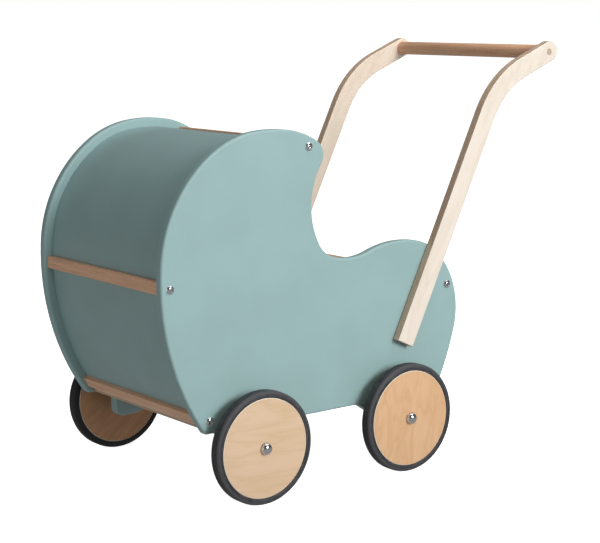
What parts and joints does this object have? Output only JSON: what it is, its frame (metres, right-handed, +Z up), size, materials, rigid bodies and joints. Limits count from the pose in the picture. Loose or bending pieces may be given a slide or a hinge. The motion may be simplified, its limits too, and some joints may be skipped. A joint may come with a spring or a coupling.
{
  "type": "doll stroller",
  "caption": "Wooden doll's pram with shaped side panels, a bent hood, a deep bed, turning rubber-tyred wooden wheels and a push handle with a round bar.",
  "frame": {"origin": "on the ground, in the middle of the pram's length and width", "axes": "+X towards the push handle, with the hood at -X; +Y across the pram towards its right side; +Z up"},
  "size_m": [0.611, 0.3576, 0.526],
  "materials": {
    "painted_board": "satin grey-green paint on board with rounded edges",
    "painted_sheet": "satin grey-green paint on bent plywood",
    "birch_plywood": "clear satin lacquer",
    "pale_birch": "whitened satin lacquer on birch plywood, with the layers showing on the edges",
    "wheel_plywood": "clear satin lacquer on plywood",
    "beech": "oiled solid wood",
    "rubber": "matte moulded rubber",
    "chrome": "bright plated",
    "steel": "zinc plated",
    "nylon": "moulded nylon"
  },
  "bodies": {
    "pram": {"left_side_panel": "painted_board", "right_side_panel": "painted_board", "hood_panel": "painted_sheet", "front_panel": "painted_sheet", "rear_panel": "painted_sheet", "floor_board": "birch_plywood", "hood_rail": "beech", "front_middle_rail": "beech", "front_bottom_rail": "beech", "rear_top_rail": "beech", "rear_bottom_rail": "beech", "front_left_bracket": "painted_board", "front_right_bracket": "painted_board", "rear_left_bracket": "painted_board", "rear_right_bracket": "painted_board", "front_axle": "steel", "rear_axle": "steel", "front_left_spacer": "steel", "front_right_spacer": "steel", "rear_left_spacer": "steel", "rear_right_spacer": "steel", "wheel_washers": "steel", "front_left_cap": "chrome", "front_right_cap": "chrome", "rear_left_cap": "chrome", "rear_right_cap": "chrome", "left_handle_arm": "pale_birch", "right_handle_arm": "pale_birch", "handle_bar": "beech", "handle_bar_screws": "steel", "handle_bar_plugs": "birch_plywood", "arm_screws": "steel", "arm_inserts": "steel", "panel_screws": "chrome", "floor_screws": "steel"},
    "front_left_wheel": {"front_left_disc": "wheel_plywood", "front_left_tyre": "rubber", "front_left_bush": "nylon"},
    "front_right_wheel": {"front_right_disc": "wheel_plywood", "front_right_tyre": "rubber", "front_right_bush": "nylon"},
    "rear_left_wheel": {"rear_left_disc": "wheel_plywood", "rear_left_tyre": "rubber", "rear_left_bush": "nylon"},
    "rear_right_wheel": {"rear_right_disc": "wheel_plywood", "rear_right_tyre": "rubber", "rear_right_bush": "nylon"}
  },
  "joints": [
    {"name": "front_left_wheel_turn", "type": "hinge", "parent": "pram", "child": "front_left_wheel", "pos_m": [-0.187, -0.164, 0.068], "axis": [0, 1, 0], "continuous": true},
    {"name": "front_right_wheel_turn", "type": "hinge", "parent": "pram", "child": "front_right_wheel", "pos_m": [-0.187, 0.164, 0.068], "axis": [0, 1, 0], "continuous": true},
    {"name": "rear_left_wheel_turn", "type": "hinge", "parent": "pram", "child": "rear_left_wheel", "pos_m": [0.036, -0.164, 0.068], "axis": [0, 1, 0], "continuous": true},
    {"name": "rear_right_wheel_turn", "type": "hinge", "parent": "pram", "child": "rear_right_wheel", "pos_m": [0.036, 0.164, 0.068], "axis": [0, 1, 0], "continuous": true}
  ]
}
